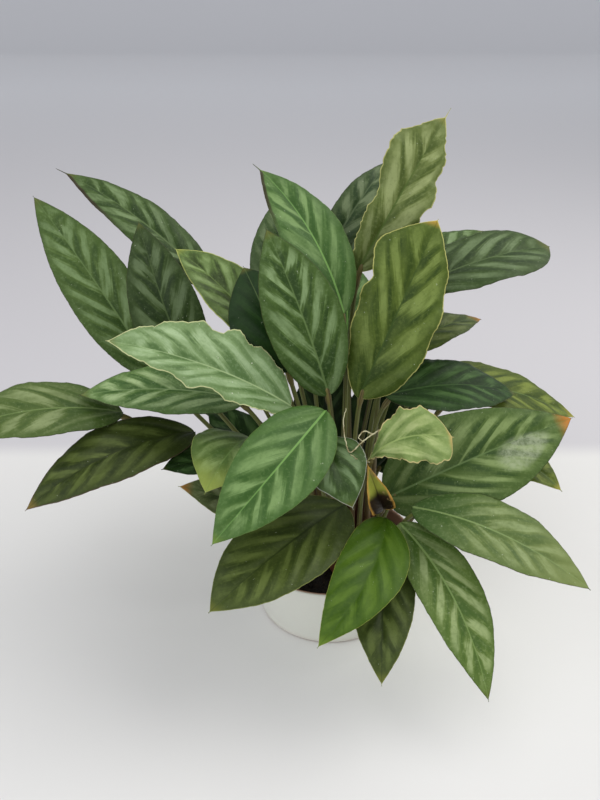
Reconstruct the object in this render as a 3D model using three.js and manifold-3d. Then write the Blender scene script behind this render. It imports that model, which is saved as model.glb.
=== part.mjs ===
// A potted calathea: forty-seven leaves on slim stalks, rising from the soil of a low round white pot.
// Millimetres, +Z up. The origin is the centre of the pot's underside, and -Y is the front.
import * as THREE from "three";
import { mergeVertices } from "three/addons/utils/BufferGeometryUtils.js";
import Module from "manifold-3d";

const wasm = await Module();
wasm.setup();

// Pot: a low tapered bowl with a rounded lip and foot edge, and drain holes in its floor
const POT = { rim: 68, foot: 54, height: 57, wall: 3.2, floor: 4, footEdge: 2.5, lip: 1.6, sides: 48 };
const DRAIN = { count: 5, radius: 4, ring: 26, sides: 10 };

// Soil: fills the pot nearly to the rim, and is higher in the middle, where the clump grew
const SOIL = { level: 47, mound: 5, clear: 0.3, rings: 5, sides: 24, relief: 0.8 };

// Stalks: radius at the soil and at the blade, how quickly that narrows, and where along the midrib one ends
const STALK = { foot: 1.9, top: 1.2, narrows: 0.7, sides: 5, steps: 6, sunk: 22, end: 0.07 };

// How much a stalk starts straight up, and how much its end still follows its own direction
const ARCH = { up: 0.6, own: 0.35 };

// The plain hole that a stalk stands in: room all round it, and how many of the stalk's steps it covers
const HOLE = { clear: 0.45, steps: 3 };

// Blades: half of the thickness, and the ridge of the midrib underneath, at the stalk and at the tip
const BLADE = { half: 0.35, ribBase: 1.2, ribTip: 0.15, start: 0.012, end: 0.99 };
const ACROSS = [-1, -0.55, 0, 0.55, 1];

// Waves along the edges: how far one side's are ahead of the other's, and how much shorter the ragged ones are
const EDGE = { ahead: 2, shorter: 1.5 };

// What a leaf has where its own line says nothing else
const PLAIN = {
  width: 48, // across the blade at its widest
  lean: 20, // degrees that its upper side looks away from straight up
  turn: 0, // where it leans to: 0 the front, 90 the right, 180 the back
  bow: 10, // how far the midrib arches over the straight line from base to tip
  sweep: 0, // how far the midrib bends to the leaf's left
  fold: 0.25, // rise of each half from the midrib, in a share of its width
  cup: 0.2, // how much of that the edges bend back down
  widest: 0.42, // where along the blade it is widest
  skew: 0, // how much further along its left half is widest, and its right half less far
  round: 0.58, // how slowly it widens from its base
  blunt: 2.1, // how full the blade stays towards its tip
  wave: 0.8, // height of the waves along the edge
  waves: 3,
  ragged: 0, // how far the edge runs in and out, in a share of the width
  rows: 9,
  upright: 0.45, // how straight up the stalk starts, in a share of its length
  arch: 0.2, // how long the stalk's end runs in line with the blade, in a share of its length
  finish: "leaf",
};

// Each leaf: where its stalk stands in the soil, where its blade begins, and where its tip is
const LEAVES = {
  left: [
    { root: [-17, 1], base: [-129, 28, 183], tip: [-214, 66, 307], lean: 62, sweep: -3, width: 50 },
    { root: [-10, 17], base: [-87, 66, 238], tip: [-198, 98, 318], lean: 30, sweep: -1.5, width: 38 },
    {
      root: [-8, -13],
      base: [-29, -28, 186],
      tip: [-144, -46, 241],
      lean: 26,
      fold: 0.5,
      cup: 0.15,
      width: 54,
      widest: 0.36,
      blunt: 2.8,
      wave: 2.5,
      waves: 4,
      ragged: 0.06,
      rows: 18,
      finish: "dry",
    },
    { root: [-11, 8], base: [-99, 14, 183], tip: [-136, 44, 294], lean: 45, sweep: 2.5, width: 49 },
    {
      root: [-3, 12],
      base: [-44, 30, 206],
      tip: [-114, 62, 270],
      lean: 30,
      fold: 0.5,
      width: 42,
      finish: "fresh",
    },
    { root: [-12, -4], base: [-62, -5, 180], tip: [-172, -25, 193], bow: 8 },
    { root: [-23, -6], base: [-147, -15, 175], tip: [-259, -60, 178], bow: 14, width: 52 },
    { root: [-18, -10], base: [-97, -18, 161], tip: [-202, -75, 134], lean: 25, bow: 17 },
    { root: [-6, -8], base: [-60, -22, 145], tip: [-115, -52, 151], bow: 3, width: 33 },
    { root: [-9, -19], base: [-56, -32, 164], tip: [-81, -98, 162], width: 54, finish: "fresh" },
    { root: [-6, -26], base: [-45, -32, 92], tip: [-100, -77, 153], lean: 35, width: 37 },
    { root: [-17, 7], base: [-45, 24, 95], tip: [-95, 44, 150], lean: 30, width: 44 },
    { root: [0, 6], base: [-31, -8, 203], tip: [-62, 26, 267], lean: 50, width: 54 },
  ],
  top: [
    { root: [9, -1], base: [7, 2, 242], tip: [-51, 56, 328], lean: 62, turn: 25, sweep: -4, width: 46 },
    { root: [3, 17], base: [-31, 30, 215], tip: [-38, 80, 305], lean: 62, width: 50 },
    { root: [7, -12], base: [-3, -17, 189], tip: [-45, 8, 298], lean: 68, sweep: -2, width: 52, widest: 0.46 },
    {
      root: [16, -8],
      base: [18, -10, 184],
      tip: [70, 25, 300],
      lean: 62,
      width: 58,
      widest: 0.5,
      skew: 0.16,
      blunt: 2.8,
      wave: 3,
      ragged: 0.03,
      rows: 18,
      finish: "fresh",
    },
    {
      root: [16, 8],
      base: [17, 28, 264],
      tip: [76, 60, 362],
      lean: 50,
      turn: 30,
      sweep: 2.5,
      fold: 0.35,
      width: 42,
      widest: 0.56,
      skew: 0.12,
      blunt: 2.2,
      wave: 2.5,
      ragged: 0.06,
      rows: 18,
      finish: "dry",
    },
    { root: [12, 20], base: [-6, 46, 266], tip: [43, 96, 327], lean: 50, width: 28 },
  ],
  right: [
    { root: [31, 7], base: [50, 22, 250], tip: [157, 55, 274], sweep: -3, width: 54, widest: 0.55, blunt: 4 },
    { root: [20, 19], base: [57, 54, 236], tip: [122, 116, 270], width: 42 },
    { root: [23, 12], base: [42, 27, 197], tip: [119, 80, 209], width: 32 },
    { root: [28, -3], base: [38, 4, 179], tip: [140, 34, 166], width: 54 },
    { root: [35, 4], base: [67, 40, 176], tip: [197, 58, 134], finish: "fresh" },
    {
      root: [32, -20],
      base: [38, -35, 117],
      tip: [163, -26, 176],
      lean: 50,
      bow: 20,
      width: 66,
      skew: -0.06,
      round: 0.42,
    },
    { root: [40, -8], base: [109, -4, 138], tip: [157, -45, 130], width: 32, finish: "fresh" },
    { root: [37, -25], base: [53, -60, 126], tip: [157, -118, 104], bow: 14 },
  ],
  front: [
    {
      root: [1, -22],
      base: [-6, -40, 189],
      tip: [-75, -125, 143],
      lean: 45,
      sweep: 2,
      width: 53,
      arch: 0.1,
      finish: "fresh",
    },
    { root: [4, -29], base: [-13, -46, 170], tip: [10, -92, 147], width: 44, arch: 0.1 },
    { root: [9, -33], base: [8, -45, 118], tip: [-78, -132, 98], sweep: 2, width: 62, blunt: 2.6, arch: 0.1 },
    {
      root: [20, -34],
      base: [35, -58, 116],
      tip: [-12, -150, 87],
      sweep: 9.5,
      width: 44,
      arch: 0.1,
      finish: "fresh",
    },
    { root: [27, -41], base: [38, -60, 90], tip: [27, -150, 57], sweep: -2, width: 41, arch: 0.1 },
    {
      root: [33, -33],
      base: [45, -60, 113],
      tip: [93, -152, 46],
      lean: 35,
      sweep: 7,
      width: 41,
      round: 0.45,
      arch: 0.1,
    },
  ],
  back: [
    { root: [-9, 23], base: [-60, 78, 150], tip: [-135, 130, 170], turn: 180 },
    { root: [-1, 26], base: [-15, 80, 190], tip: [-45, 150, 240], turn: 180 },
    { root: [9, 28], base: [15, 90, 175], tip: [20, 160, 230], turn: 180 },
    { root: [21, 27], base: [60, 85, 170], tip: [120, 140, 185], turn: 180 },
    { root: [33, 15], base: [90, 65, 140], tip: [160, 105, 120], turn: 180 },
    { root: [-17, 15], base: [-70, 60, 120], tip: [-150, 90, 130], turn: 180 },
    { root: [4, 34], base: [-7, 72, 82], tip: [-1, 102, 172], lean: 60, width: 52 },
    { root: [6, 12], base: [15, 58, 244], tip: [22, 112, 292], lean: 45, turn: 180, width: 44 },
    { root: [15, 34], base: [46, 84, 206], tip: [82, 148, 246], lean: 35, turn: 170 },
    { root: [-20, 22], base: [-54, 84, 196], tip: [-92, 142, 226], lean: 35, turn: 190, width: 44 },
    {
      root: [26, 33],
      base: [42, 67, 78],
      tip: [76, 98, 148],
      lean: 60,
      width: 52,
      round: 0.4,
      upright: 0.6,
    },
    { root: [20, 37], base: [28, 63, 80], tip: [43, 92, 164], lean: 60, width: 46 },
  ],
  dry: [
    {
      root: [21, -17],
      base: [22, -50, 155],
      tip: [75, -60, 180],
      lean: 50,
      sweep: 7,
      width: 38,
      widest: 0.7,
      skew: -0.08,
      round: 1.7,
      blunt: 4.5,
      wave: 3,
      ragged: 0.05,
      rows: 18,
      finish: "dry",
    },
    {
      root: [14, -25],
      base: [35, -49, 117],
      tip: [22, -56, 156],
      lean: 75,
      fold: 0.9,
      width: 17,
      finish: "dry",
    },
  ],
};

// Finishes
const FINISH = {
  pot: { color: "#dedcd4", roughness: 0.35 },
  soil: { color: "#1d1611", roughness: 1 },
  leaf: { color: "#33502c", roughness: 0.5 },
  fresh: { color: "#5f8a2c", roughness: 0.45 },
  dry: { color: "#b9b481", roughness: 0.75 },
};

const point = (xyz) => new THREE.Vector3(...xyz);
const blend = (from, to, share) => from + (to - from) * share;
const radians = THREE.MathUtils.degToRad;

// Solid of a closed mesh, whose only attribute is its position
function solidOf(geometry) {
  geometry.deleteAttribute("normal");
  geometry.deleteAttribute("uv");
  const closed = mergeVertices(geometry, 1e-4);
  const vertProperties = new Float32Array(closed.attributes.position.array);
  const triVerts = new Uint32Array(closed.index.array);
  return new wasm.Manifold(new wasm.Mesh({ numProp: 3, vertProperties, triVerts }));
}

function meshOf(name, solid, finish) {
  const { vertProperties, triVerts } = solid.getMesh();
  const geometry = new THREE.BufferGeometry();
  geometry.setAttribute("position", new THREE.BufferAttribute(vertProperties, 3));
  geometry.setIndex(new THREE.BufferAttribute(triVerts, 1));
  geometry.computeVertexNormals();
  const mesh = new THREE.Mesh(geometry, new THREE.MeshStandardMaterial({ metalness: 0, ...finish }));
  mesh.name = name;
  return mesh;
}

// Closed geometry through rings of points, each ring anticlockwise as seen from the first ring's side
function loft(rings, capFaces) {
  const size = rings[0].length;
  const positions = rings.flat().flatMap((p) => [p.x, p.y, p.z]);
  const faces = [];
  for (let r = 0; r + 1 < rings.length; r++)
    for (let i = 0; i < size; i++) {
      const a = r * size + i;
      const b = r * size + ((i + 1) % size);
      faces.push(...splitFace(a, b, a + size, b + size, i, size));
    }
  const last = (rings.length - 1) * size;
  for (const [a, b, c] of capFaces) faces.push(a, b, c, last + a, last + c, last + b);
  const geometry = new THREE.BufferGeometry();
  geometry.setAttribute("position", new THREE.Float32BufferAttribute(positions, 3));
  geometry.setIndex(faces);
  return geometry;
}

// A quad's two triangles: the ring's second half is the underside, and its diagonals follow the top's
function splitFace(a, b, nextA, nextB, i, size) {
  const under = i >= size / 2;
  return under ? [a, nextA, b, b, nextA, nextB] : [a, nextB, b, a, nextA, nextB];
}

// Round tube along a curve, up to one of its steps
function tubeAlong(curve, radiusAt, upTo = STALK.steps) {
  const { normals, binormals } = curve.computeFrenetFrames(STALK.steps);
  const rings = normals.slice(0, upTo + 1).map((normal, step) => {
    const share = step / STALK.steps;
    const centre = curve.getPointAt(share);
    return Array.from({ length: STALK.sides }, (_, side) => {
      const angle = (-side / STALK.sides) * Math.PI * 2;
      return centre
        .clone()
        .addScaledVector(normal, Math.cos(angle) * radiusAt(share))
        .addScaledVector(binormals[step], Math.sin(angle) * radiusAt(share));
    });
  });
  const cap = Array.from({ length: STALK.sides - 2 }, (_, i) => [0, i + 1, i + 2]);
  return { rings, cap };
}

// Half-width along one side of the blade, as a share of the greatest: round at the base and pointed at the tip
function outlineAt(leaf, t, side) {
  const widest = leaf.widest + leaf.skew * side;
  if (t < widest) return Math.pow(1 - Math.pow(1 - t / widest, 2), leaf.round);
  return 1 - Math.pow((t - widest) / (1 - widest), leaf.blunt);
}

// The middle surface of a blade: a point for each place along it, and across it from -1 to 1
function bladeSurface(leaf) {
  const base = point(leaf.base);
  const along = point(leaf.tip).sub(base);
  const length = along.length();
  along.normalize();
  const lean = radians(leaf.lean);
  const turn = radians(leaf.turn);
  const up = new THREE.Vector3(
    Math.sin(lean) * Math.sin(turn),
    -Math.sin(lean) * Math.cos(turn),
    Math.cos(lean),
  );
  up.addScaledVector(along, -up.dot(along)).normalize();
  const left = up.clone().cross(along);
  return (t, s) => {
    const side = Math.sign(s);
    const phase = Math.PI * 2 * leaf.waves * t + side * EDGE.ahead;
    const ragged = 1 + leaf.ragged * s * s * Math.cos(phase * EDGE.shorter);
    const half = (leaf.width / 2) * outlineAt(leaf, t, side) * ragged;
    const raised = half * (leaf.fold * Math.abs(s) - leaf.cup * s * s);
    const waved = leaf.wave * s * s * Math.sin(Math.PI * t) * Math.sin(phase);
    const arch = 4 * t * (1 - t);
    return base
      .clone()
      .addScaledVector(along, length * t)
      .addScaledVector(left, leaf.sweep * arch + half * s)
      .addScaledVector(up, leaf.bow * arch + raised + waved);
  };
}

// Which way the upper side looks at a place on the surface
function normalAt(surface, t, s) {
  const step = 0.01; // in shares of the blade's length and half-width
  const alongT = surface(t + step / 2, s).sub(surface(t - step / 2, s));
  const alongS = surface(t, Math.min(s + step, 1)).sub(surface(t, Math.max(s - step, -1)));
  return alongT.cross(alongS).normalize();
}

// Thin blade with its midrib standing out underneath
function bladeSolid(leaf, surface) {
  const rings = Array.from({ length: leaf.rows }, (_, row) => {
    const t = blend(BLADE.start, BLADE.end, row / (leaf.rows - 1));
    const rib = blend(BLADE.ribBase, BLADE.ribTip, t);
    const upper = ACROSS.map((s) => surface(t, s).addScaledVector(normalAt(surface, t, s), BLADE.half));
    const under = ACROSS.map((s) => {
      const depth = BLADE.half + (s === 0 ? rib : 0);
      return surface(t, s).addScaledVector(normalAt(surface, t, s), -depth);
    });
    return [...upper, ...under.reverse()];
  });
  const last = ACROSS.length * 2 - 1;
  const cap = [0, 1, 2, 3].flatMap((i) => [
    [i, i + 1, last - i],
    [i + 1, last - i - 1, last - i],
  ]);
  return solidOf(loft(rings, cap));
}

// Route of a stalk: up from its hole in the soil, over in an arch, and into the underside of the midrib
function stalkCurve(leaf, surface) {
  const [x, y] = leaf.root;
  const end = surface(STALK.end, 0).addScaledVector(normalAt(surface, STALK.end, 0), -STALK.top);
  const foot = new THREE.Vector3(x, y, SOIL.level - STALK.sunk);
  const span = end.distanceTo(foot);
  const outward = end.clone().sub(foot).normalize();
  const start = outward.clone().lerp(new THREE.Vector3(0, 0, 1), ARCH.up).normalize();
  const midrib = surface(STALK.end * 2, 0).sub(surface(0, 0)).normalize();
  const into = midrib.lerp(outward, ARCH.own).normalize();
  return new THREE.CubicBezierCurve3(
    foot,
    foot.clone().addScaledVector(start, span * leaf.upright),
    end.clone().addScaledVector(into, -span * leaf.arch),
    end,
  );
}

const stalkRadius = (share) => blend(STALK.foot, STALK.top, Math.pow(share, STALK.narrows));

// Plain hole round the part of the stalk that is in the soil, a little wider and deeper
function holeSolid(curve) {
  const radius = STALK.foot + HOLE.clear;
  const { rings, cap } = tubeAlong(curve, () => radius, HOLE.steps);
  const down = curve.getTangentAt(0).multiplyScalar(-HOLE.clear);
  for (const place of rings[0]) place.add(down);
  return solidOf(loft(rings, cap));
}

function makeLeaf(name, leaf) {
  const surface = bladeSurface(leaf);
  const curve = stalkCurve(leaf, surface);
  const { rings, cap } = tubeAlong(curve, stalkRadius);
  const stalk = solidOf(loft(rings, cap));
  const solid = stalk.add(bladeSolid(leaf, surface));
  return { name, solid, hole: holeSolid(curve), finish: FINISH[leaf.finish] };
}

const leaves = Object.entries(LEAVES).flatMap(([side, rows]) =>
  rows.map((row, i) => makeLeaf(`leaf_${side}_${i + 1}`, { ...PLAIN, ...row })),
);

// Solid turned about the vertical axis from [radius, height] points, listed up the outside
function turned(profile, sides) {
  const outline = profile.map(([radius, height]) => new THREE.Vector2(radius, height));
  return new THREE.LatheGeometry(outline, sides).rotateX(Math.PI / 2);
}

// Quarter-turn corner of a profile, from one angle to another
function corner(radius, height, size, from, to) {
  const steps = 4;
  return Array.from({ length: steps + 1 }, (_, i) => {
    const angle = radians(blend(from, to, i / steps));
    return [radius + size * Math.cos(angle), height + size * Math.sin(angle)];
  });
}

// Radius of the pot's outside at a height, between its foot and its rim
const potRadius = (height) => blend(POT.foot, POT.rim, height / POT.height);

function makePot() {
  const inner = (height) => potRadius(height) - POT.wall;
  const profile = [
    [0, 0],
    ...corner(POT.foot - POT.footEdge, POT.footEdge, POT.footEdge, -90, 0),
    ...corner(POT.rim - POT.lip, POT.height - POT.lip, POT.lip, 0, 180),
    [inner(POT.floor), POT.floor],
    [0, POT.floor],
  ];
  let pot = solidOf(turned(profile, POT.sides));
  for (let i = 0; i < DRAIN.count; i++) {
    const angle = (i / DRAIN.count) * Math.PI * 2;
    const drill = new THREE.CylinderGeometry(DRAIN.radius, DRAIN.radius, POT.floor * 3, DRAIN.sides);
    drill.rotateX(Math.PI / 2).translate(DRAIN.ring * Math.cos(angle), DRAIN.ring * Math.sin(angle), 0);
    pot = pot.subtract(solidOf(drill));
  }
  return pot;
}

// Height of the soil's surface: a low mound, with crumbs that only the inner rings carry
function soilHeight(x, y, edge) {
  const radius = Math.hypot(x, y);
  const mound = SOIL.mound * Math.cos((Math.PI / 2) * Math.min(radius / edge, 1));
  const crumbs = Math.sin(x * 0.9) * Math.sin(y * 1.1 + 0.6) + 0.5 * Math.sin(x * 0.37 - y * 0.53);
  return SOIL.level + mound + (radius < edge - 1 ? SOIL.relief * crumbs : 0);
}

function makeSoil(holes) {
  const bottom = POT.floor + SOIL.clear;
  const inside = (height) => potRadius(height) - POT.wall - SOIL.clear * 2;
  const edge = inside(SOIL.level);
  const rings = Array.from({ length: SOIL.rings }, (_, i) => [edge * (1 - (i + 1) / SOIL.rings), SOIL.level]);
  const profile = [[0, bottom], [inside(bottom), bottom], [edge, SOIL.level], ...rings];
  const geometry = turned(profile, SOIL.sides);
  const places = geometry.attributes.position;
  for (let i = 0; i < places.count; i++)
    if (places.getZ(i) > SOIL.level - 1) places.setZ(i, soilHeight(places.getX(i), places.getY(i), edge));
  const soil = holes.reduce((rest, hole) => rest.subtract(hole), solidOf(geometry));
  return soil.decompose().reduce((most, crumb) => (crumb.volume() > most.volume() ? crumb : most));
}

const plant = new THREE.Group();
plant.add(meshOf("pot", makePot(), FINISH.pot));
plant.add(meshOf("soil", makeSoil(leaves.map(({ hole }) => hole)), FINISH.soil));
for (const { name, solid, finish } of leaves) plant.add(meshOf(name, solid, finish));

export default plant;
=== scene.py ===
"""A potted calathea: striped blades on slim stalks over dark potting mix, in a low white pot.

Sizes in the tables are millimetres, +Z up and -Y to the front, and the meshes are made in metres.
"""

from functools import partialmethod
from math import atan2, cos, hypot, log, pi, radians, sin, sqrt
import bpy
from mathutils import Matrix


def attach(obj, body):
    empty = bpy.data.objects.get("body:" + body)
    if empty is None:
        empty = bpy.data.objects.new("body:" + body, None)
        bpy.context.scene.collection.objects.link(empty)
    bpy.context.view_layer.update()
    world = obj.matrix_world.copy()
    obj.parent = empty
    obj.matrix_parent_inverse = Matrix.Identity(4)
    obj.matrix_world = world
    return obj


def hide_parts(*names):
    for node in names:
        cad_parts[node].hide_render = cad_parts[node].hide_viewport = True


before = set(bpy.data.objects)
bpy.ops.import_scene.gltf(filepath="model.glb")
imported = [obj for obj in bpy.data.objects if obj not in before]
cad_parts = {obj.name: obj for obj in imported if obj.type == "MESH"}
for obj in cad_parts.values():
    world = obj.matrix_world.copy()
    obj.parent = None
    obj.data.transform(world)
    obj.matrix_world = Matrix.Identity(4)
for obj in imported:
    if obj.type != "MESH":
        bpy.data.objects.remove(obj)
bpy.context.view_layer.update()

from types import SimpleNamespace as Table

import bpy
import numpy as np

MM = 0.001
TURN = 2 * pi

# Pot and drain holes, as in the solid, with more sides, and the heights of the rings in its walls
POT = Table(rim=68, foot=54, height=57, wall=3.2, floor=4, foot_edge=2.5, lip=1.6, inner_corner=3,
            sides=160, corner_steps=8, outer_rings=(14, 28, 42), inner_rings=(44, 24))
DRAIN = Table(count=5, radius=4, ring=26, sides=32, flat=3, past=4)

# Potting mix: surface height, mound in the middle, room to the pot, its bumps, and the crumbs on it
SOIL = Table(level=47, mound=5, clear=0.6, rings=64, spokes=200, shell=22, seed=5, lumps=1.5, waves=40,
             shortest=2.5, longest=24, calm_edge=4)
CRUMBS = Table(count=760, smallest=0.9, largest=3.4, sides=7, rings=5, mostly_small=2.2, clear=0.4,
               rough=0.28, squashed=0.65, stretched=1.25, raised=0.25)

# Stalks: radii along the length, how far one is sunk in the mix, and the swollen joint below the blade
STALK = Table(foot=3.1, slim=1.65, slim_from=0.55, top=1, top_from=0.96, sunk=22, end=0.07, near=0.005,
              sides=12, steps=44, joint_steps=13)
JOINT = Table(radius=2.2, begins=0.86, ends=0.985, swells=0.03)
ARCH = Table(up=0.6, own=0.35)

# Blades: thickness at the midrib and at the edge, the midrib's ridge above and keel below, the two
# ends' half-widths, and the rows of points and their places across each half
BLADE = Table(middle=0.5, edge=0.3, keel=1.2, keel_tip=0.12, keel_width=1.1, ridge=0.28, ridge_width=0.6,
              groove=0.25, groove_width=2, below=0.8, base_half=1, base_to=0.1, tip_half=0.7,
              tip_from=0.93, rows=84, bunched=0.4)
ACROSS = (0, 0.02, 0.045, 0.08, 0.13, 0.19, 0.26, 0.33, 0.4, 0.47, 0.54, 0.61, 0.68, 0.75, 0.82, 0.88,
          0.93, 0.97, 1)
EDGE = Table(ahead=2, shorter=1.5, whole_to=0.12, whole_from=0.85)
NIBBLES = (23, 11, 6.1, 3.7)
CRINKLES = (19, 12, 8.3)

# Side veins leave the midrib at a slant and curve on towards the tip, and quilt the blade between them
VEIN = Table(slant=1.5, curve=0.012, pleat=4.2, pleat_height=0.1, band_height=0.4)
QUILT = Table(rib=(0.04, 0.2), edge=(1, 0.8), tip=(1.02, 0.9))


class Leaf:
    """Where a leaf's stalk stands in the mix, where its blade begins, and where its tip is.

    The values here hold where its own line says nothing else: the solid's, then the finer ones.
    """

    width = 48  # across the blade at its widest
    lean = 20  # degrees that its upper side looks away from straight up
    turn = 0  # where it leans to: 0 the front, 90 the right, 180 the back
    bow = 10  # how far the midrib arches over the straight line from base to tip
    sweep = 0  # how far the midrib bends to the leaf's left
    fold = 0.25  # rise of each half from the midrib, in a share of its width
    cup = 0.2  # how much of that the edges bend back down
    widest = 0.42  # where along the blade it is widest
    skew = 0  # how much further along its left half is widest, and its right half less far
    round = 0.58  # how slowly it widens from its base
    blunt = 2.1  # how full the blade stays towards its tip
    wave = 0.8  # height of the waves along the edge
    waves = 3
    ragged = 0  # how far the edge runs in and out, in a share of the width
    upright = 0.45  # how straight up the stalk starts, in a share of its length
    arch = 0.2  # how long the stalk's end runs in line with the blade, in a share of its length
    crinkle = 0.5  # height of the small waves along the edge
    torn = 0.25  # how far the edge is nibbled in and out
    drip = 1.2  # length of the fine point past the tip
    bites = ()  # dents in the outline: side, place along, length and depth
    burnt = 0  # the side, -1 or 1, whose edge is dead near the tip
    look = "striped"
    shade = 1  # how much lighter or darker than its look, partly the leaf's own tone and partly painted light and shade
    slot = "leaf"

    def __init__(self, root, base, tip, **own):
        self.root, self.base, self.tip = root, base, tip
        self.__dict__.update(own)


class FreshLeaf(Leaf):
    slot = "fresh_leaf"


class DryLeaf(Leaf):
    slot = "dry_leaf"


LEAVES = dict(
    left=[
        Leaf((-17, 1), (-129, 28, 183), (-214, 66, 307), lean=62, sweep=-3, width=50, look="soft"),
        Leaf((-10, 17), (-87, 66, 238), (-198, 98, 318), lean=30, sweep=-1.5, width=38, drip=9, burnt=1,
             shade=0.8),
        DryLeaf((-8, -13), (-29, -28, 186), (-144, -46, 241), lean=26, fold=0.5, cup=0.15, width=54,
                widest=0.36, blunt=2.8, wave=2.5, waves=4, ragged=0.06, crinkle=1, torn=1.2,
                look="silver"),
        Leaf((-11, 8), (-99, 14, 183), (-136, 44, 294), lean=45, sweep=2.5, width=49, shade=0.52),
        FreshLeaf((-3, 12), (-44, 30, 206), (-114, 62, 270), lean=30, fold=0.5, width=42, look="lime"),
        Leaf((-12, -4), (-62, -5, 180), (-172, -25, 193), bow=8, look="grey", shade=1.35),
        Leaf((-23, -6), (-147, -15, 175), (-259, -60, 178), bow=14, width=52, look="bright", shade=0.8),
        Leaf((-18, -10), (-97, -18, 161), (-202, -75, 134), lean=25, bow=17, look="dusky"),
        Leaf((-6, -8), (-60, -22, 145), (-115, -52, 151), bow=3, width=33, look="deep"),
        FreshLeaf((-9, -19), (-56, -32, 164), (-81, -98, 162), width=54, look="golden"),
        Leaf((-6, -26), (-45, -32, 92), (-100, -77, 153), lean=35, width=37, look="spotted"),
        Leaf((-17, 7), (-45, 24, 95), (-95, 44, 150), lean=30, width=44, look="deep"),
        Leaf((0, 6), (-31, -8, 203), (-62, 26, 267), lean=50, width=54, look="smooth"),
    ],
    top=[
        Leaf((9, -1), (7, 2, 242), (-51, 56, 328), lean=62, turn=25, sweep=-4, width=46, drip=7, burnt=1,
             look="fresh"),
        Leaf((3, 17), (-31, 30, 215), (-38, 80, 305), lean=62, width=50, look="grey", shade=0.7),
        Leaf((7, -12), (-3, -17, 189), (-45, 8, 298), lean=68, sweep=-2, width=52, widest=0.46),
        FreshLeaf((16, -8), (18, -10, 184), (70, 25, 300), lean=62, width=58, widest=0.5, skew=0.16,
                  blunt=2.8, wave=3, ragged=0.03, crinkle=1.2, torn=0.6,
                  bites=[(1, 0.8, 0.1, -4), (1, 0.6, 0.045, 4)], look="wavy"),
        DryLeaf((16, 8), (17, 28, 264), (76, 60, 362), lean=50, turn=30, sweep=2.5, fold=0.35, width=42,
                widest=0.56, skew=0.12, blunt=2.2, wave=2.5, ragged=0.06, crinkle=1.2, torn=1.4, drip=8,
                bites=[(1, 0.7, 0.1, -5), (1, 0.42, 0.1, 4)], look="crisp"),
        Leaf((12, 20), (-6, 46, 266), (43, 96, 327), lean=50, width=28, look="grey", shade=0.55),
    ],
    right=[
        Leaf((31, 7), (50, 22, 250), (157, 55, 274), sweep=-3, width=54, widest=0.55, blunt=4, shade=0.65),
        Leaf((20, 19), (57, 54, 236), (122, 116, 270), width=42),
        Leaf((23, 12), (42, 27, 197), (119, 80, 209), width=32, look="browned"),
        Leaf((28, -3), (38, 4, 179), (140, 34, 166), width=54, look="deep", shade=1.25),
        FreshLeaf((35, 4), (67, 40, 176), (197, 58, 134), look="olive"),
        Leaf((32, -20), (38, -35, 117), (163, -26, 176), lean=50, bow=20, width=66, skew=-0.06, round=0.42,
             bites=[(1, 0.35, 0.15, -3)], look="scratched"),
        FreshLeaf((40, -8), (109, -4, 138), (157, -45, 130), width=32, look="olive"),
        Leaf((37, -25), (53, -60, 126), (157, -118, 104), bow=14, look="faded"),
    ],
    front=[
        FreshLeaf((1, -22), (-6, -40, 189), (-75, -125, 143), lean=45, sweep=2, width=53, arch=0.1,
                  look="fresh"),
        Leaf((4, -29), (-13, -46, 170), (10, -92, 147), width=44, arch=0.1, look="dusty"),
        Leaf((9, -33), (8, -45, 118), (-78, -132, 98), sweep=2, width=62, blunt=2.6, arch=0.1,
             look="mossy"),
        FreshLeaf((20, -34), (35, -58, 116), (-12, -150, 87), sweep=9.5, width=44, arch=0.1, look="leafy"),
        Leaf((27, -41), (38, -60, 90), (27, -150, 57), sweep=-2, width=41, arch=0.1, look="mossy",
             shade=0.9),
        Leaf((33, -33), (45, -60, 113), (93, -152, 46), lean=35, sweep=7, width=41, round=0.45, arch=0.1,
             look="bright", shade=1.15),
    ],
    back=[
        Leaf((-9, 23), (-60, 78, 150), (-135, 130, 170), turn=180),
        Leaf((-1, 26), (-15, 80, 190), (-45, 150, 240), turn=180),
        Leaf((9, 28), (15, 90, 175), (20, 160, 230), turn=180, look="fresh"),
        Leaf((21, 27), (60, 85, 170), (120, 140, 185), turn=180),
        Leaf((33, 15), (90, 65, 140), (160, 105, 120), turn=180, look="deep"),
        Leaf((-17, 15), (-70, 60, 120), (-150, 90, 130), turn=180, look="deep"),
        Leaf((4, 34), (-7, 72, 82), (-1, 102, 172), lean=60, width=52, look="deep", shade=0.5),
        Leaf((6, 12), (15, 58, 244), (22, 112, 292), lean=45, turn=180, width=44),
        Leaf((15, 34), (46, 84, 206), (82, 148, 246), lean=35, turn=170, look="grey"),
        Leaf((-20, 22), (-54, 84, 196), (-92, 142, 226), lean=35, turn=190, width=44),
        Leaf((26, 33), (42, 67, 78), (76, 98, 148), lean=60, width=52, round=0.4, upright=0.6, look="deep",
             shade=0.6),
        Leaf((20, 37), (28, 63, 80), (43, 92, 164), lean=60, width=46, look="deep", shade=0.5),
    ],
    dry=[
        DryLeaf((21, -17), (22, -50, 155), (75, -60, 180), lean=50, sweep=7, width=38, widest=0.7,
                skew=-0.08, round=1.7, blunt=4.5, wave=3, ragged=0.05, crinkle=1.4, torn=1.4,
                look="parched"),
        DryLeaf((14, -25), (35, -49, 117), (22, -56, 156), lean=75, fold=0.9, width=17, crinkle=1.2,
                look="withered"),
    ],
)

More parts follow.
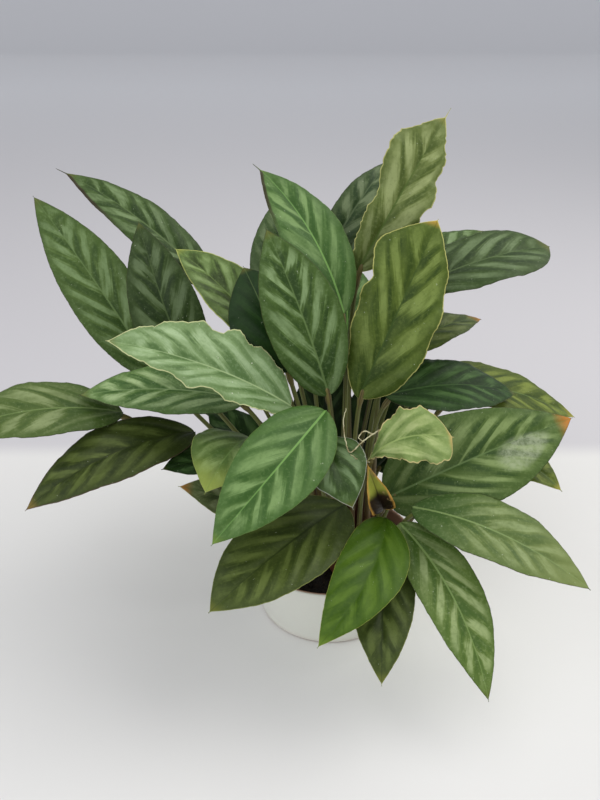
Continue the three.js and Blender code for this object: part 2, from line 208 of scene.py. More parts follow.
# Dried strands torn from the edge of the small yellowed leaf, and the points that they pass through
STRANDS = Table(thickest=0.55, thinnest=0.25, sides=6, steps=10, uneven=0.12, seed=9)
STRAND_LINES = [
    [(36, -47, 182), (26, -51, 178), (17, -60, 176), (9, -68, 173), (6, -62, 180), (5, -56, 190),
     (7, -51, 196)],
    [(24, -51, 156), (18, -59, 161), (14, -70, 169), (9, -76, 176)],
    [(25, -51, 177), (19, -54, 181), (15, -57, 178), (19, -58, 175)],
]

# Colours are screen colours from 0 to 255. A look starts from the striped one and says what differs
LOOKS = dict(
    striped=dict(
        field=(70, 95, 40),  # between the bands and towards the edge
        pale=(124, 148, 100),  # the feathered bands
        deep=(42, 66, 22),  # the stripes between them
        rib=(98, 122, 70),
        margin=(58, 58, 32),
        tip=(92, 94, 38),
        under=(126, 140, 100),
        contrast=1,  # how far the bands and stripes stand out
        period=22,  # millimetres of midrib from band to band
        tip_from=0.93,  # where along the blade the tip's colour begins
        tip_full=1,  # where it is full
        margin_width=0.4,
        shaded=0.35,  # how far painted shade darkens the blade towards its base, where other leaves shade it
        specks=0.35,
        wear=0,  # share of the blade under dry patches
        scuff=(),  # a scratched patch: its place along and across
    ),
    bright=dict(field=(92, 113, 54), pale=(150, 166, 114), deep=(60, 86, 32), rib=(120, 144, 84),
        contrast=0.85, shaded=0.6),
    faded=dict(field=(98, 116, 60), pale=(146, 162, 112), deep=(58, 84, 38), rib=(122, 144, 88),
        contrast=0.7, shaded=0.95, tip=(118, 132, 76), tip_from=0.55),
    soft=dict(field=(78, 101, 46), contrast=0.75),
    grey=dict(field=(86, 110, 62), pale=(140, 160, 114), deep=(50, 78, 34), rib=(106, 128, 84)),
    # Darker greens for leaves that sit deep among the others, partly their own tone and partly painted
    # shade
    deep=dict(field=(34, 60, 20), pale=(70, 98, 52), deep=(20, 42, 10), rib=(58, 84, 42)),
    dusky=dict(field=(60, 72, 29), pale=(92, 106, 52), deep=(38, 50, 14), rib=(46, 56, 22),
        margin=(82, 56, 50), margin_width=0.8, tip=(132, 110, 50), tip_from=0.92),
    dusty=dict(field=(60, 83, 38), pale=(104, 127, 86), deep=(40, 61, 22), rib=(52, 72, 34),
        margin=(168, 172, 158), margin_width=0.7),
    spotted=dict(field=(96, 108, 68), pale=(134, 144, 104), deep=(64, 78, 42), margin=(150, 150, 104),
        tip=(176, 112, 50), tip_from=0.9, wear=0.2),
    mossy=dict(field=(66, 80, 32), pale=(98, 113, 56), deep=(40, 53, 16), rib=(36, 48, 18), contrast=0.8,
        margin=(132, 140, 72), margin_width=0.6, tip=(100, 106, 40)),
    smooth=dict(field=(26, 53, 16), pale=(42, 70, 28), deep=(16, 40, 9), contrast=0.6),
    fresh=dict(field=(74, 105, 50), pale=(116, 145, 88), deep=(52, 85, 32), rib=(116, 158, 82),
        margin=(96, 120, 58), tip=(104, 128, 44)),
    leafy=dict(field=(64, 92, 18), pale=(86, 114, 34), deep=(46, 74, 8), rib=(56, 82, 20), contrast=0.7,
        margin=(140, 150, 66), tip=(96, 122, 34)),
    golden=dict(field=(90, 112, 56), pale=(126, 148, 92), deep=(60, 86, 34), rib=(98, 124, 66),
        contrast=0.8, margin=(150, 158, 84), tip=(134, 148, 66), tip_from=0.66),
    # The lime leaf's darker base is painted shade for the folded half that lies in shadow
    lime=dict(field=(98, 122, 62), pale=(140, 164, 104), deep=(58, 74, 36), rib=(114, 138, 74),
        shaded=0.95, margin=(190, 198, 112), margin_width=1, tip=(146, 156, 70)),
    olive=dict(field=(84, 100, 34), pale=(122, 136, 60), deep=(56, 74, 22), margin=(146, 146, 70),
        tip=(166, 156, 62), tip_from=0.9),
    silver=dict(field=(122, 148, 98), pale=(160, 184, 140), deep=(82, 110, 62), rib=(156, 178, 128),
        margin=(208, 210, 156), margin_width=1.1, specks=0.9),
    wavy=dict(field=(82, 100, 36), pale=(118, 136, 68), deep=(46, 66, 14), rib=(54, 76, 26), period=30,
        margin=(200, 198, 118), margin_width=1, tip=(186, 148, 58), tip_from=0.95),
    crisp=dict(field=(104, 118, 62), pale=(146, 158, 104), deep=(70, 86, 34), rib=(76, 98, 42), period=27,
        margin=(192, 190, 120), margin_width=0.9, tip=(138, 134, 60)),
    parched=dict(field=(132, 152, 88), pale=(168, 182, 122), deep=(92, 116, 56), rib=(150, 170, 100),
        margin=(212, 194, 136), margin_width=1, tip=(200, 164, 100), tip_from=0.94),
    browned=dict(field=(92, 108, 50), pale=(130, 144, 84), deep=(56, 76, 26), tip=(196, 122, 44),
        tip_from=0.84, wear=0.1),
    scratched=dict(field=(80, 102, 48), pale=(126, 146, 90), deep=(48, 72, 28), tip=(196, 120, 44),
        tip_from=0.91, scuff=(0.72, -0.3)),
    withered=dict(field=(36, 25, 17), pale=(58, 42, 24), deep=(24, 18, 12), rib=(34, 24, 16),
        contrast=0.5, margin=(206, 158, 76), margin_width=2, under=(176, 120, 56), tip=(156, 164, 66),
        tip_from=0.55, tip_full=0.72, wear=0.3),
)
SCREEN_POWER = 0.45

# Below, a noise is scale, detail and roughness, and a step is where it begins and ends, then its
# values there if not 0 and 1. Places along a blade and across each half run from 0 to 1, widths on
# it are millimetres, and a bump's height and the pot's places are metres

# Bands and stripes, the streaks that feather them, and the patches where they stand out
BANDS = Table(seed=3.7, half_seed=9, drift=1.4, wander=(0.7, 2), wander_size=0.8, feather=0.5,
              near_rib=(0, 0.4, 0.3, -0.1), edge=(0.1, 0.9), hem=(0.7, 1, 0, 0.35))
STREAKS = Table(vein=0.4, rib=0.07, half_seed=5, noise=(1, 3, 0.6))
PATCHES = Table(lane=0.9, out=2.5, noise=(1.3, 2), step=(0.3, 0.6), strength=(0.35, 1.05),
                across=(1, 0.58), along=(1, 0.78))

# Over the whole blade: cloudy dark places, painted shade towards the base, a fine mottle and pale specks
CLOUDS = Table(noise=(22, 3, 0.6), dark=(0.55, 0.3, 0, 0.3), rough=(0.3, 0.8, 0.38, 0.54), base=(0.46, 0.1))
MOTTLE = Table(noise=(460, 3, 0.65), pale=(0.5, 0.68, 0, 0.2), deep=(0.5, 0.32, 0, 0.2))
SPECKS = Table(noise=(520, 1), step=(0.76, 0.8), height=0.3, colour=(196, 204, 180))
BLADE_SKIN = Table(bump=(0.00025, 0.6), under=0.68, specular=0.18)

# In places: the tip, the midrib and the margin, then scratches, a dead edge and dry patches
TIP = Table(shift=0.05, strength=0.85)
RIB = Table(width=(0, 1, 0.6, 0.2), soft=0.3, strength=(0.35, 0.95, 0.8, 0.35))
MARGIN = Table(shift=0.3, full=0.12, strength=0.8)
SCUFF = Table(flat=0.12, reach=(0.026, 0.006), noise=(320, 4, 0.7), grain=(0.36, 0.62, 0.25, 0.6),
              colour=(166, 176, 146))
BURNT = Table(edge=(2.8, 1.6), along=(0.5, 0.8), strength=0.85, colour=(48, 34, 24))
WORN = Table(noise=(60, 4, 0.7), step=(0.72, 0.8), strength=0.7, colour=(150, 128, 84))

# Stalks, strands, pot and mix
STALK_SKIN = Table(foot=(98, 58, 42), middle=(100, 108, 50), joint=(112, 104, 54), streak=(60, 46, 28),
                   rise=(0.1, 0.55), joint_blur=0.02, lengthwise=3, around=2.2, seed=2.3, noise=(1, 3),
                   streaks=(0.45, 0.7, 0, 0.8), rough=(0.3, 0.7, 0.4, 0.6), bump=(0.0003, 0.5),
                   specular=0.4)
STRAND_SKIN = Table(pale=(192, 188, 152), brown=(136, 122, 84), noise=(180, 3), step=(0.45, 0.7),
                    rough=0.7, bump=(0.0003, 0.5))
# The inner wall's tint is partly its own colour and partly painted shade inside the pot; near the mix it
# darkens further, soil stain and painted shade together
POT_SKIN = Table(glaze=(218, 220, 210), warm=(214, 212, 204), inner=(172, 132, 110),
                 stain=(150, 128, 104), noise=(90, 4, 0.6), mottle=(0.3, 0.8, 0, 0.3), inside=(0.0012, 0),
                 stain_step=(0.0515, 0.0475), stain_shift=0.003, stain_strength=0.8,
                 rough=(0.3, 0.8, 0.32, 0.36), specular=0.5)
MIX_SKIN = Table(dark=(16, 13, 10), light=(50, 39, 28), fibre=(92, 70, 48), grain=(420, 5, 0.7),
                 clods=(110, 3, 0.6), fibre_scale=(900, 140, 300), fibres=(1, 2), light_step=(0.35, 0.75),
                 dark_step=(0.62, 0.5, 0, 0.7), fibre_step=(0.7, 0.76, 0, 0.7),
                 rough=(0.3, 0.7, 0.75, 0.95), bump=(0.0012, 0.9), specular=0.25)

# Studio, in metres but for the camera: the floor's colours near and far, where it grows paler again
# towards its far edge, and a paler spot under the plant, which is painted light that lifts its shadow
FLOOR = Table(half=9, lip=1.2, lip_reach=1.05, near=(222, 222, 221), far=(200, 199, 203),
              farthest=(226, 228, 233), begins=0.22, ends=0.26, fades=5, bright=(251, 251, 250),
              spot=(0.06, -0.03), reach=0.2, rough=0.8, specular=0.2)
CAMERA = Table(place=(-23, -514, 428), pitch=26, lens=36, sensor=36, clip=(0.01, 200))
WORLD = Table(colour=(252, 252, 255), strength=0.59)
LAMP_AIM = (0, 0, 0.15)
LAMPS = [
    Table(name="overhead", place=(0.3, 0.2, 2.2), size=2.8, watts=14.5, colour=(255, 253, 248)),
    Table(name="key", place=(0.9, 0.1, 1.2), size=1.4, watts=8.5, colour=(255, 252, 246)),
    Table(name="fill", place=(-0.9, -1.1, 1), size=2.4, watts=13, colour=(250, 250, 255)),
]


def blend(start, end, share):
    return start + (end - start) * share


def smooth(low, high, value):
    """A smooth step from 0 to 1 as the value goes from low to high."""
    share = np.clip((value - low) / (high - low), 0, 1)
    return share * share * (3 - 2 * share)


def unit(vectors):
    return vectors / np.maximum(np.linalg.norm(vectors, axis=-1, keepdims=True), 1e-12)


def linear(colour):
    """Scene colour of a screen colour from 0 to 255."""
    shares = [c / 255 for c in colour]
    return [c / 12.92 if c <= 0.04045 else ((c + 0.055) / 1.055) ** 2.4 for c in shares] + [1]


# Blades

def outline(leaf, t, side):
    """Half-width at a place along one side of the blade, in a share of the widest."""
    widest = leaf.widest + leaf.skew * side
    rising = 1 - (1 - np.clip(t / widest, 0, 1)) ** 2
    falling = np.clip((t - widest) / (1 - widest), 0, 1)
    return np.where(t < widest, rising ** leaf.round, 1 - falling ** leaf.blunt)


def placed(leaf):
    """The leaf's base and length, and its directions: along, to its left and up from its upper side."""
    base, tip = np.array(leaf.base, float), np.array(leaf.tip, float)
    length = np.linalg.norm(tip - base)
    along = (tip - base) / length
    lean, turn = radians(leaf.lean), radians(leaf.turn)
    up = np.array([sin(lean) * sin(turn), -sin(lean) * cos(turn), cos(lean)])
    up = unit(up - along * (up @ along))
    return base, length, along, np.cross(up, along), up


def ripples(rng, lengths):
    """A smooth random line along the blade, made of sine waves of these lengths."""
    waves = [(TURN / wave, rng.uniform(0, TURN)) for wave in lengths]
    return lambda x: sum(np.sin(k * x + start) for k, start in waves) / len(waves)


def wave_phase(leaf, t, side):
    return TURN * leaf.waves * t + side * EDGE.ahead


def half_width(leaf, t, side, s, length, nibbles):
    """Half-width, with the ragged edge, its nibbles and dents, and the fine point."""
    ragged = 1 + leaf.ragged * s**2 * np.cos(wave_phase(leaf, t, side) * EDGE.shorter)
    half = leaf.width / 2 * outline(leaf, t, side) * ragged
    body = smooth(0, EDGE.whole_to, t) * smooth(1, EDGE.whole_from, t)
    for nibble, sign in zip(nibbles, (-1, 1)):
        half = half + (side == sign) * leaf.torn * nibble(t * length) * body * abs(s) ** 2
    for sign, place, reach, depth in leaf.bites:
        half = half - (side == sign) * depth * np.exp(-(((t - place) / reach) ** 2)) * abs(s)
    end = 1 + leaf.drip / length
    point = BLADE.tip_half * np.clip((end - t) / (end - BLADE.tip_from), 0, 1)
    start = BLADE.base_half * smooth(BLADE.base_to, 0, t)
    least = np.where(t > BLADE.tip_from, point, start)
    return np.hypot(np.maximum(half, 0), least)


def surface(leaf, t, s, nibbles, crinkles):
    """Points of the blade's middle surface, and the half-width at each."""
    base, length, along, left, up = placed(leaf)
    side = np.sign(s)
    half = half_width(leaf, t, side, s, length, nibbles)
    raised = half * (leaf.fold * abs(s) - leaf.cup * s**2)
    body = np.sin(pi * np.clip(t, 0, 1))
    waved = leaf.wave * s**2 * body * np.sin(wave_phase(leaf, t, side))
    small = sum((side == sign) * line(t * length) for line, sign in zip(crinkles, (-1, 1)))
    waved = waved + leaf.crinkle * small * abs(s) ** 3 * np.sqrt(body)
    arch = 4 * t * (1 - t)
    points = base + (length * t)[..., None] * along
    points = points + (leaf.sweep * arch + half * s)[..., None] * left
    points = points + (leaf.bow * arch + raised + waved)[..., None] * up
    return points, half


def relief(away, vein, s, t, period):
    """Height of the midrib's ridge, the quilting and the fine pleats that the side veins make."""
    out = abs(s)
    inside = smooth(*QUILT.rib, out) * smooth(*QUILT.edge, out)
    bands = VEIN.band_height * np.cos(TURN * (vein / period + (s > 0) / 2))
    pleats = VEIN.pleat_height * np.cos(TURN * vein / VEIN.pleat)
    ridge = BLADE.ridge * np.exp(-((away / BLADE.ridge_width) ** 2))
    ridge = ridge - BLADE.groove * np.exp(-((away / BLADE.groove_width) ** 2))
    return ((pleats - bands) * inside + ridge) * smooth(*QUILT.tip, t)


def blade(leaf, rng):
    """The closed mesh of a blade: its points, its faces, and what the colours are worked out from."""
    nibbles = [ripples(rng, NIBBLES) for _ in range(2)]
    crinkles = [ripples(rng, CRINKLES) for _ in range(2)]
    length = placed(leaf)[1]
    across = np.array([-s for s in ACROSS[:0:-1]] + list(ACROSS), float)
    share = np.linspace(0, 1, BLADE.rows)
    share = blend(share, (1 - np.cos(pi * share)) / 2, BLADE.bunched)
    t, s = np.meshgrid(share * (1 + leaf.drip / length), across, indexing="ij")
    middle, half = surface(leaf, t, s, nibbles, crinkles)
    away = half * abs(s)
    vein = t * length - VEIN.slant * away - VEIN.curve * away**2
    facts = dict(along=t, across=s, vein=vein, rib=away, edge=half * (1 - abs(s)))
    facts = {name: np.hstack([value, value[:, ::-1]]) for name, value in facts.items()}
    facts["under"] = np.hstack([t * 0, t * 0 + 1])
    raised = relief(away, vein, s, t, look_of(leaf).period)
    rings = two_sides(middle, raised, t, s, away)
    faces = loft_faces(*rings.shape[:2]) + flat_caps(*rings.shape[:2])
    return rings.reshape(-1, 3), faces, {name: value.ravel() for name, value in facts.items()}


def two_sides(middle, raised, t, s, away):
    """The upper side and, turned round, the lower one, which has the midrib's keel."""
    out = unit(np.cross(np.gradient(middle, axis=0), np.gradient(middle, axis=1)))
    thick = blend(BLADE.middle, BLADE.edge, abs(s)) / 2
    keel = blend(BLADE.keel, BLADE.keel_tip, np.clip(t, 0, 1))
    keel = keel * np.exp(-((away / BLADE.keel_width) ** 2))
    upper = middle + out * (raised + thick)[..., None]
    lower = middle + out * (raised * BLADE.below - thick - keel)[..., None]
    return np.hstack([upper, lower[:, ::-1]])


def loft_faces(rows, ring):
    """Quads between the rings of a closed loft."""
    turns = [(j, (j + 1) % ring) for j in range(ring)]
    starts = range(0, (rows - 1) * ring, ring)
    return [(i + a, i + ring + a, i + ring + b, i + b) for i in starts for a, b in turns]


def flat_caps(rows, ring):
    """Quads across the two ends of a blade, from its upper side to its lower one."""
    last = (rows - 1) * ring
    first_cap = [(j, j + 1, ring - 2 - j, ring - 1 - j) for j in range(ring // 2 - 1)]
    return first_cap + [tuple(last + k for k in reversed(face)) for face in first_cap]


# Stalks

def bezier(points, share):
    a, b, c, d = points
    rest = 1 - share
    weights = (rest**3, 3 * rest**2 * share, 3 * rest * share**2, share**3)
    return sum(weight[:, None] * point for weight, point in zip(weights, (a, b, c, d)))


def midrib_point(leaf, t):
    """A point on the midrib, for a blade with a whole and even edge."""
    even = [lambda x: 0 * x] * 2
    return surface(leaf, np.array([[t]]), np.array([[0.0]]), even, even)[0][0, 0]


def stalk_line(leaf):
    """The four control points of a stalk, from its foot in the mix to the underside of the blade."""
    along = midrib_point(leaf, STALK.end + STALK.near) - midrib_point(leaf, STALK.end - STALK.near)
    *_, left, _ = placed(leaf)
    end = midrib_point(leaf, STALK.end) - unit(np.cross(unit(along), left)) * BLADE.keel
    foot = np.array([*leaf.root, SOIL.level - STALK.sunk], float)
    span = np.linalg.norm(end - foot)
    outward = (end - foot) / span
    start = unit(blend(outward, np.array([0, 0, 1.0]), ARCH.up))
    into = unit(midrib_point(leaf, STALK.end * 2) - midrib_point(leaf, 0))
    into = unit(blend(into, outward, ARCH.own))
    return foot, foot + start * span * leaf.upright, end - into * span * leaf.arch, end


def stalk_radius(share):
    """A sheath at the foot, a slim length, and a swollen joint below the blade."""
    slim = blend(STALK.foot, STALK.slim, smooth(0, STALK.slim_from, share))
    rise = smooth(JOINT.begins, JOINT.begins + JOINT.swells, share)
    fall = smooth(JOINT.ends, JOINT.ends - JOINT.swells, share)
    ends = blend(slim, STALK.top, smooth(STALK.top_from, 1, share))
    return blend(ends, JOINT.radius, rise * fall)


def stalk(leaf):
    """The closed mesh of a stalk, and what its colours are worked out from."""
    share = np.linspace(0, 1, STALK.steps)
    share = np.append(share, np.linspace(JOINT.begins, 1, STALK.joint_steps))
    share = np.unique(np.round(share, 5))
    line = bezier(stalk_line(leaf), share)
    points, faces, angle = tube(line, stalk_radius(share), STALK.sides)
    along = np.append(np.repeat(share, len(angle)), [0, 1])
    around = np.append(np.tile(np.cos(angle), len(share)), [0, 0])
    return points, faces, dict(along=along, across=around)


def tube(line, radius, sides):
    """A closed tube along a line, whose rings are carried on without a twist, and their angles."""
    forward = unit(np.gradient(line, axis=0))
    aside = [unit(np.cross(forward[0], (0, 1, 0.2)))]
    for ahead in forward[1:]:
        aside.append(unit(aside[-1] - ahead * (aside[-1] @ ahead)))
    aside = np.array(aside)
    beside = np.cross(forward, aside)
    angle = np.linspace(0, TURN, sides, endpoint=False)
    turned = aside[:, None] * np.cos(angle)[:, None] + beside[:, None] * np.sin(angle)[:, None]
    rings = line[:, None] + turned * radius[:, None, None]
    ends = forward[[0, -1]] * radius[[0, -1], None]
    points = np.concatenate([rings.reshape(-1, 3), line[:1] - ends[:1], line[-1:] + ends[1:]])
    return points, closed_faces(len(line), sides), angle


def closed_faces(rows, ring):
    """Faces of rings that close in a point at each end, the two points being the last of all."""
    faces = [face[::-1] for face in loft_faces(rows, ring)]
    first, end, last_ring = rows * ring, rows * ring + 1, (rows - 1) * ring
    faces += [(first, (j + 1) % ring, j) for j in range(ring)]
    return faces + [(end, last_ring + j, last_ring + (j + 1) % ring) for j in range(ring)]


def smooth_line(points, steps):
    """A smooth line through these points, with so many steps from each to the next."""
    points = np.array(points, float)
    points = np.concatenate([[2 * points[0] - points[1]], points, [2 * points[-1] - points[-2]]])
    t = np.linspace(0, 1, steps, endpoint=False)[:, None]
    pieces = []
    for a, b, c, d in zip(points, points[1:], points[2:], points[3:]):
        bend = a - 2.5 * b + 2 * c - d / 2
        twist = 1.5 * (b - c) + (d - a) / 2
        pieces.append(b + (c - a) * t / 2 + bend * t**2 + twist * t**3)
    return np.concatenate(pieces + [points[-2:-1]])


# Objects

def mesh_object(name, points, faces, materials, facts=None, slots=None):
    """A smooth-shaded object from points in millimetres, with named numbers at its points."""
    mesh = bpy.data.meshes.new(name)
    mesh.from_pydata((points * MM).tolist(), [], faces)
    for fact, values in (facts or {}).items():
        layer = mesh.attributes.new(fact, "FLOAT", "POINT")
        layer.data.foreach_set("value", np.asarray(values, np.float32))
    for material in materials:
        mesh.materials.append(material)
    if slots is not None:
        mesh.polygons.foreach_set("material_index", slots)
    mesh.shade_smooth()
    return new_object(name, mesh)


def new_object(name, data):
    made = bpy.data.objects.new(name, data)
    bpy.context.scene.collection.objects.link(made)
    return made


def joined(parts):
    """Several meshes as one, each given as its points and its faces."""
    points, faces, shift = [], [], 0
    for more_points, more_faces in parts:
        points.append(more_points)
        faces += [tuple(k + shift for k in face) for face in more_faces]
        shift += len(more_points)
    return np.concatenate(points), faces


def look_of(leaf):
    """The leaf's look, with its greens made lighter or darker."""
    look = {**LOOKS["striped"], **LOOKS[leaf.look], "burnt": leaf.burnt}
    for part in ("field", "pale", "deep", "rib"):
        look[part] = [c * leaf.shade ** SCREEN_POWER for c in look[part]]
    return Table(**look)


def make_leaf(name, leaf, number):
    points, faces, facts = blade(leaf, np.random.default_rng(number))
    stalk_points, stalk_faces, more = stalk(leaf)
    nothing = np.zeros(len(stalk_points))
    facts = {fact: np.append(values, more.get(fact, nothing)) for fact, values in facts.items()}
    slots = [0] * len(faces) + [1] * len(stalk_faces)
    points, faces = joined([(points, faces), (stalk_points, stalk_faces)])
    materials = [blade_material(f"{name}_blade", look_of(leaf), number)]
    materials.append(stalk_material(f"{name}_stalk", number))
    made = mesh_object(f"{name}_fine", points, faces, materials, facts, slots)
    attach(made, "root")
    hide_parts(name)


def make_leaves():
    number = 0
    for group, leaves in LEAVES.items():
        for place, leaf in enumerate(leaves, 1):
            number += 1
            make_leaf(f"leaf_{group}_{place}", leaf, number)


def make_strands():
    rng = np.random.default_rng(STRANDS.seed)
    parts = []
    for knots in STRAND_LINES:
        line = smooth_line(knots, STRANDS.steps)
        line = line + rng.normal(0, STRANDS.uneven, line.shape)
        radius = np.linspace(STRANDS.thickest, STRANDS.thinnest, len(line))
        parts.append(tube(line, radius, STRANDS.sides)[:2])
    strands = mesh_object("dried_strands", *joined(parts), [strand_material()])
    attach(strands, "root")


# Materials

class Shader:
    """A material whose nodes are written as formulas, and whose colour is painted on in layers."""

    SHARE, UNDER, OVER, MIXED = 0, 6, 7, 2  # sockets of the Mix node when it mixes colours

    def __init__(self, name):
        self.material = bpy.data.materials.new(name)
        self.material.use_nodes = True
        self.tree = self.material.node_tree
        self.surface = self.tree.nodes["Principled BSDF"]

    def feed(self, socket, value):
        if isinstance(value, bpy.types.NodeSocket):
            self.tree.links.new(value, socket)
        else:
            socket.default_value = linear(value) if socket.type == "RGBA" else value

    def node(self, kind, inputs=(), **settings):
        made = self.tree.nodes.new(f"ShaderNode{kind}")
        for key, value in settings.items():
            setattr(made, key, value)
        for key, value in dict(inputs).items():
            self.feed(made.inputs[key], value)
        return made

    def calc(self, operation, *values, clamp=False):
        inputs = dict(enumerate(values))
        return self.node("Math", inputs, operation=operation, use_clamp=clamp).outputs[0]

    plus = partialmethod(calc, "ADD")
    minus = partialmethod(calc, "SUBTRACT")
    times = partialmethod(calc, "MULTIPLY")
    scaled = partialmethod(calc, "MULTIPLY_ADD")  # value * factor + start

    def distance(self, first, second):
        """How far away something is that lies so far off in two directions."""
        return self.calc("SQRT", self.plus(self.times(first, first), self.times(second, second)))

    def step(self, value, low, high, start=0, end=1):
        """A smooth step from start to end as the value goes from low to high."""
        inputs = dict(enumerate((value, low, high, start, end)))
        return self.node("MapRange", inputs, interpolation_type="SMOOTHSTEP").outputs[0]

    def mix(self, share, under, over):
        inputs = {self.SHARE: share, self.UNDER: under, self.OVER: over}
        return self.node("Mix", inputs, data_type="RGBA").outputs[self.MIXED]

    def paint(self, colour, share):
        """Lays a colour over what is there, as far as the share says."""
        self.colour = self.mix(share, self.colour, colour)

    def fact(self, name):
        return self.node("Attribute", attribute_name=name).outputs["Fac"]

    def place(self):
        return self.node("TexCoord").outputs["Object"]

    def apart(self):
        """The three numbers of the place on the object."""
        return self.node("SeparateXYZ", {0: self.place()}).outputs

    def vector(self, x, y, z):
        return self.node("CombineXYZ", {0: x, 1: y, 2: z}).outputs[0]

    def noise(self, scale, detail, roughness=0.5, at=None):
        """Noise at a vector, or else at the place on the object."""
        inputs = {"Vector": at or self.place(), "Scale": scale, "Detail": detail, "Roughness": roughness}
        return self.node("TexNoise", inputs).outputs[0]

    def swing(self, noise, size):
        """Noise moved from 0..1 to -size..size."""
        return self.scaled(noise, 2 * size, -size)

    def bump(self, height, distance, strength):
        inputs = {"Height": height, "Distance": distance, "Strength": strength}
        self.feed(self.surface.inputs["Normal"], self.node("Bump", inputs).outputs[0])

    def finish(self, roughness, specular=0.5):
        self.feed(self.surface.inputs["Base Color"], self.colour)
        self.feed(self.surface.inputs["Roughness"], roughness)
        self.feed(self.surface.inputs["Specular IOR Level"], specular)
        return self.material


def blade_material(name, look, number):
    """A striped blade, with its midrib, margin and tip, its damage, and a plainer underside."""
    sh = Shader(name)
    names = ("along", "across", "vein", "rib", "edge", "under")
    facts = Table(**{fact: sh.fact(fact) for fact in names})
    clouds, specks = sh.noise(*CLOUDS.noise), sh.noise(*SPECKS.noise)
    streaks = paint_stripes(sh, look, number, facts)
    paint_clouds(sh, look, facts, clouds)
    paint_lines(sh, look, facts, clouds, streaks)
    sh.paint(SPECKS.colour, sh.step(specks, *SPECKS.step, 0, look.specks))
    paint_damage(sh, look, facts)
    sh.paint(sh.mix(BLADE_SKIN.under, sh.colour, look.under), facts.under)
    sh.bump(sh.plus(streaks, sh.times(specks, SPECKS.height)), *BLADE_SKIN.bump)
    return sh.finish(sh.step(clouds, *CLOUDS.rough), BLADE_SKIN.specular)


def paint_stripes(sh, look, number, facts):
    """Pale bands and deep stripes along the side veins, in turn on the two halves, and their streaks."""
    seed = number * BANDS.seed
    side = sh.calc("GREATER_THAN", facts.across, 0)
    out = sh.calc("ABSOLUTE", facts.across)
    lane = sh.calc("DIVIDE", facts.vein, look.period)
    slow = sh.vector(lane, sh.scaled(side, BANDS.half_seed, seed), sh.times(out, BANDS.drift))
    wander = sh.swing(sh.noise(*BANDS.wander, at=slow), BANDS.wander_size)
    fine = sh.vector(sh.times(facts.vein, STREAKS.vein), sh.scaled(side, STREAKS.half_seed, seed),
                     sh.times(facts.rib, STREAKS.rib))
    streaks = sh.noise(*STREAKS.noise, at=fine)
    turn = sh.plus(sh.scaled(side, 0.5, lane), wander)
    band = sh.scaled(sh.calc("PINGPONG", turn, 0.5), 2, sh.swing(streaks, BANDS.feather))
    band = sh.plus(band, sh.step(out, *BANDS.near_rib))
    tone = sh.minus(sh.step(band, *BANDS.edge), 0.5)
    tone = sh.scaled(tone, band_strength(sh, look, seed, facts, lane, out), 0.5)
    sh.colour = look.pale
    sh.paint(look.field, sh.times(tone, 2, clamp=True))
    sh.paint(look.deep, sh.scaled(tone, 2, -1, clamp=True))
    sh.paint(look.deep, sh.step(out, *BANDS.hem))
    return streaks


def band_strength(sh, look, seed, facts, lane, out):
    """How far the bands stand out: in patches, and less towards the edge and the tip."""
    place = sh.vector(sh.times(lane, PATCHES.lane), seed, sh.times(out, PATCHES.out))
    strength = [share * look.contrast for share in PATCHES.strength]
    patches = sh.step(sh.noise(*PATCHES.noise, at=place), *PATCHES.step, *strength)
    inside = sh.times(sh.step(out, *PATCHES.across), sh.step(facts.along, *PATCHES.along))
    return sh.times(inside, patches)


def paint_clouds(sh, look, facts, clouds):
    """The cloudy dark places, the painted shade towards the base and the fine mottle."""
    sh.paint(look.deep, sh.step(clouds, *CLOUDS.dark))
    # painted shade: the blade grows darker towards its base, where the leaves around it shade it
    sh.paint(look.deep, sh.step(facts.along, *CLOUDS.base, 0, look.shaded))
    mottle = sh.noise(*MOTTLE.noise)
    sh.paint(look.pale, sh.step(mottle, *MOTTLE.pale))
    sh.paint(look.deep, sh.step(mottle, *MOTTLE.deep))


def paint_lines(sh, look, facts, clouds, streaks):
    """The tip's colour, the midrib, which narrows and fades towards the tip, and the margin."""
    along = facts.along
    tip = sh.step(sh.plus(along, sh.swing(clouds, TIP.shift)), look.tip_from, look.tip_full)
    sh.paint(look.tip, sh.times(tip, TIP.strength))
    width = sh.step(along, *RIB.width)
    rib = sh.step(facts.rib, sh.plus(width, RIB.soft), width)
    sh.paint(look.rib, sh.times(rib, sh.step(along, *RIB.strength)))
    edge = sh.plus(facts.edge, sh.swing(streaks, MARGIN.shift))
    margin = sh.step(edge, look.margin_width, MARGIN.full)
    sh.paint(look.margin, sh.times(margin, MARGIN.strength))


def paint_damage(sh, look, facts):
    """The scratched patch, the dead edge and the dry patches, where the look has them."""
    if look.scuff:
        sh.paint(SCUFF.colour, scuffed(sh, look.scuff, facts))
    if look.burnt:
        near = sh.times(sh.step(facts.edge, *BURNT.edge), sh.step(facts.along, *BURNT.along))
        side = sh.calc("GREATER_THAN", sh.times(facts.across, look.burnt), 0)
        sh.paint(BURNT.colour, sh.times(sh.times(near, side), BURNT.strength))
    if look.wear:
        reach = [place - look.wear / 2 for place in WORN.step]
        sh.paint(WORN.colour, sh.step(sh.noise(*WORN.noise), *reach, 0, WORN.strength))


def scuffed(sh, centre, facts):
    """A patch of fine scratches round a place along and across the blade."""
    away = sh.calc("POWER", sh.minus(facts.along, centre[0]), 2)
    aside = sh.calc("POWER", sh.minus(facts.across, centre[1]), 2)
    near = sh.step(sh.scaled(aside, SCUFF.flat, away), *SCUFF.reach)
    return sh.times(near, sh.step(sh.noise(*SCUFF.noise), *SCUFF.grain))


